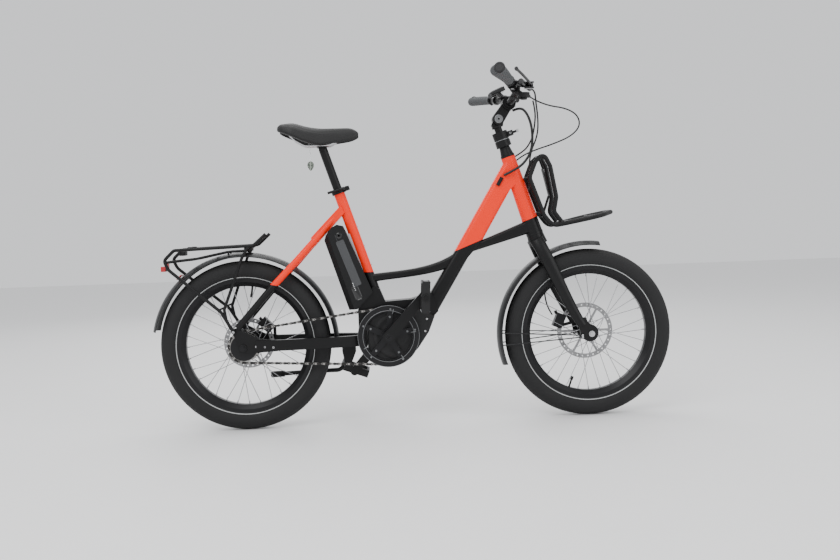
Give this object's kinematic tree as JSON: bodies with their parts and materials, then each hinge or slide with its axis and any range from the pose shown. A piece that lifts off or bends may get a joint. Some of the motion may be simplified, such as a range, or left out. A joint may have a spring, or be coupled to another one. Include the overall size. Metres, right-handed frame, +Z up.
{
  "type": "compact electric bicycle",
  "caption": "Compact electric bicycle with small wheels, orange frame, mid motor, rear battery, carriers, discs and a telescoping, twisting handlebar.",
  "frame": {"origin": "on the ground under the middle of the bicycle's length and width", "axes": "+X forwards along the bicycle, +Y to the rider's left, +Z up; metres"},
  "size_m": [1.6306, 0.6624, 1.0653],
  "materials": {
    "frame_paint": "satin orange paint",
    "black_paint": "satin black paint",
    "black_plastic": "matte",
    "gloss_black": "glossy",
    "battery_shell": "fine matte",
    "tyre": "rubber with fine tread",
    "rim_black": "satin black anodised",
    "silver": "satin",
    "spoke_steel": "bright",
    "disc_steel": "brushed",
    "chain_steel": "oiled",
    "grip_grey": "soft textured",
    "saddle_skin": "grained",
    "red_lens": "red lens",
    "rubber_black": "matte",
    "tag_card": "printed card"
  },
  "bodies": {
    "frame": {"front_frame": "frame_paint", "rear_triangle": "frame_paint", "motor_housing": "black_plastic", "battery_pack": "battery_shell", "battery_rail": "silver", "seat_collar": "black_paint", "headset_cups": "black_paint", "cable_port": "rubber_black", "rear_carrier": "black_paint", "rear_mudguard": "black_plastic", "tail_light": "red_lens", "front_carrier": "black_paint", "kickstand_bracket": "black_paint", "rear_brake_calliper": "black_paint", "rear_axle": "silver", "chain": "chain_steel"},
    "fork_assembly": {"fork": "black_paint", "front_mudguard": "black_plastic", "front_brake_calliper": "black_paint", "front_axle": "silver", "steerer_cone": "black_paint", "lifter_collar": "black_paint", "front_brake_hose": "rubber_black"},
    "lifter_lever": {"lifter_lever": "black_paint"},
    "lifter": {"lifter_tube": "black_paint"},
    "stem_base": {"stem_base": "black_paint"},
    "bar": {"stem_arm": "black_paint", "handlebar": "black_paint", "grips": "grip_grey", "brake_bodies": "black_paint", "display_unit": "gloss_black", "gear_shifter": "black_plastic", "cable_bundle": "rubber_black", "shift_cable": "rubber_black"},
    "right_brake_lever": {"right_brake_lever": "black_paint"},
    "left_brake_lever": {"left_brake_lever": "black_paint"},
    "shift_lever": {"shift_lever": "black_plastic"},
    "assist_rocker": {"assist_rocker": "black_plastic"},
    "seat": {"seat_post": "silver", "saddle_rails": "silver", "saddle_base": "black_plastic", "saddle_cover": "saddle_skin"},
    "hang_tag": {"hang_tag": "tag_card"},
    "seat_clamp_lever": {"seat_clamp_lever": "black_paint"},
    "front_wheel": {"front_hub": "silver", "front_spokes": "spoke_steel", "front_rim": "rim_black", "front_tyre": "tyre", "front_rotor": "disc_steel"},
    "rear_wheel": {"rear_hub": "black_paint", "rear_spokes": "spoke_steel", "rear_rim": "rim_black", "rear_tyre": "tyre", "rear_rotor": "disc_steel"},
    "rear_sprocket": {"rear_cog": "disc_steel"},
    "crank": {"crank_arms": "black_paint", "chainring": "black_paint"},
    "right_pedal": {"right_pedal": "black_plastic"},
    "left_pedal": {"left_pedal": "black_plastic"},
    "kickstand": {"kickstand_leg": "black_paint"}
  },
  "joints": [
    {"name": "steering", "type": "hinge", "parent": "frame", "child": "fork_assembly", "pos_m": [0.38733, 0, 0.588], "axis": [-0.3074, 0, 0.9516], "range_deg": [-45, 45], "deforming": ["cable_bundle", "shift_cable", "front_brake_hose"]},
    {"name": "lifter_slide", "type": "slide", "parent": "fork_assembly", "child": "lifter", "axis": [-0.3074, 0, 0.9516], "range_m": [0, 0.08], "deforming": ["front_brake_hose", "cable_bundle", "shift_cable"]},
    {"name": "stem_twist", "type": "hinge", "parent": "lifter", "child": "stem_base", "pos_m": [0.29512, 0, 0.87348], "axis": [-0.3074, 0, 0.9516], "range_deg": [0, 90], "deforming": ["front_brake_hose", "cable_bundle", "shift_cable"]},
    {"name": "stem_tilt", "type": "hinge", "parent": "stem_base", "child": "bar", "pos_m": [0.28263, 0, 0.944], "axis": [0, 1, 0], "range_deg": [-25, 20], "deforming": ["front_brake_hose", "cable_bundle", "shift_cable"]},
    {"name": "lifter_lever_hinge", "type": "hinge", "parent": "fork_assembly", "child": "lifter_lever", "pos_m": [0.31814, 0, 0.89983], "axis": [0, 1, 0], "range_deg": [-90, 0]},
    {"name": "right_brake_lever_hinge", "type": "hinge", "parent": "bar", "child": "right_brake_lever", "pos_m": [0.36376, -0.148, 1.02451], "axis": [0, 0, -1], "range_deg": [0, 6], "stiffness_Nm_per_rad": 0.8},
    {"name": "left_brake_lever_hinge", "type": "hinge", "parent": "bar", "child": "left_brake_lever", "pos_m": [0.36376, 0.148, 1.02451], "axis": [0, 0, 1], "range_deg": [0, 6], "stiffness_Nm_per_rad": 0.8},
    {"name": "shift_lever_hinge", "type": "hinge", "parent": "bar", "child": "shift_lever", "pos_m": [0.34458, -0.124, 0.99925], "axis": [0, 0, 1], "range_deg": [0, 22], "stiffness_Nm_per_rad": 0.15},
    {"name": "assist_rocker_hinge", "type": "hinge", "parent": "bar", "child": "assist_rocker", "pos_m": [0.29514, 0.14, 1.04931], "axis": [0, 1, 0], "range_deg": [-4, 4], "stiffness_Nm_per_rad": 0.02},
    {"name": "seat_height", "type": "slide", "parent": "frame", "child": "seat", "axis": [-0.309, 0, 0.9511], "range_m": [-0.11, 0.04]},
    {"name": "seat_lever_hinge", "type": "hinge", "parent": "frame", "child": "seat_clamp_lever", "pos_m": [-0.19857, 0, 0.74395], "axis": [0, 1, 0], "range_deg": [-90, 0]},
    {"name": "tag_swing", "type": "hinge", "parent": "seat", "child": "hang_tag", "pos_m": [-0.30567, -0.022, 0.8701], "axis": [0, 1, 0], "range_deg": [-25, 25]},
    {"name": "front_wheel_spin", "type": "hinge", "parent": "fork_assembly", "child": "front_wheel", "pos_m": [0.55033, 0, 0.265], "axis": [0, 1, 0], "continuous": true},
    {"name": "rear_wheel_spin", "type": "hinge", "parent": "frame", "child": "rear_wheel", "pos_m": [-0.52967, 0, 0.265], "axis": [0, 1, 0], "continuous": true},
    {"name": "crank_spin", "type": "hinge", "parent": "frame", "child": "crank", "pos_m": [-0.08467, 0, 0.282], "axis": [0, 1, 0], "continuous": true},
    {"name": "rear_sprocket_spin", "type": "hinge", "parent": "frame", "child": "rear_sprocket", "pos_m": [-0.52967, 0, 0.265], "axis": [0, 1, 0], "continuous": true},
    {"name": "right_pedal_spin", "type": "hinge", "parent": "crank", "child": "right_pedal", "pos_m": [0.02886, -0.1, 0.40853], "axis": [0, 1, 0], "continuous": true},
    {"name": "left_pedal_spin", "type": "hinge", "parent": "crank", "child": "left_pedal", "pos_m": [-0.1982, 0.1, 0.15547], "axis": [0, 1, 0], "continuous": true},
    {"name": "kickstand_swing", "type": "hinge", "parent": "frame", "child": "kickstand", "pos_m": [-0.21667, 0.05, 0.181], "axis": [-0.1497, 0.9484, 0.2795], "range_deg": [-41, 0]}
  ],
  "couplings": [
    {"joint": "rear_sprocket_spin", "follows": "crank_spin", "ratio": 1.8333}
  ]
}
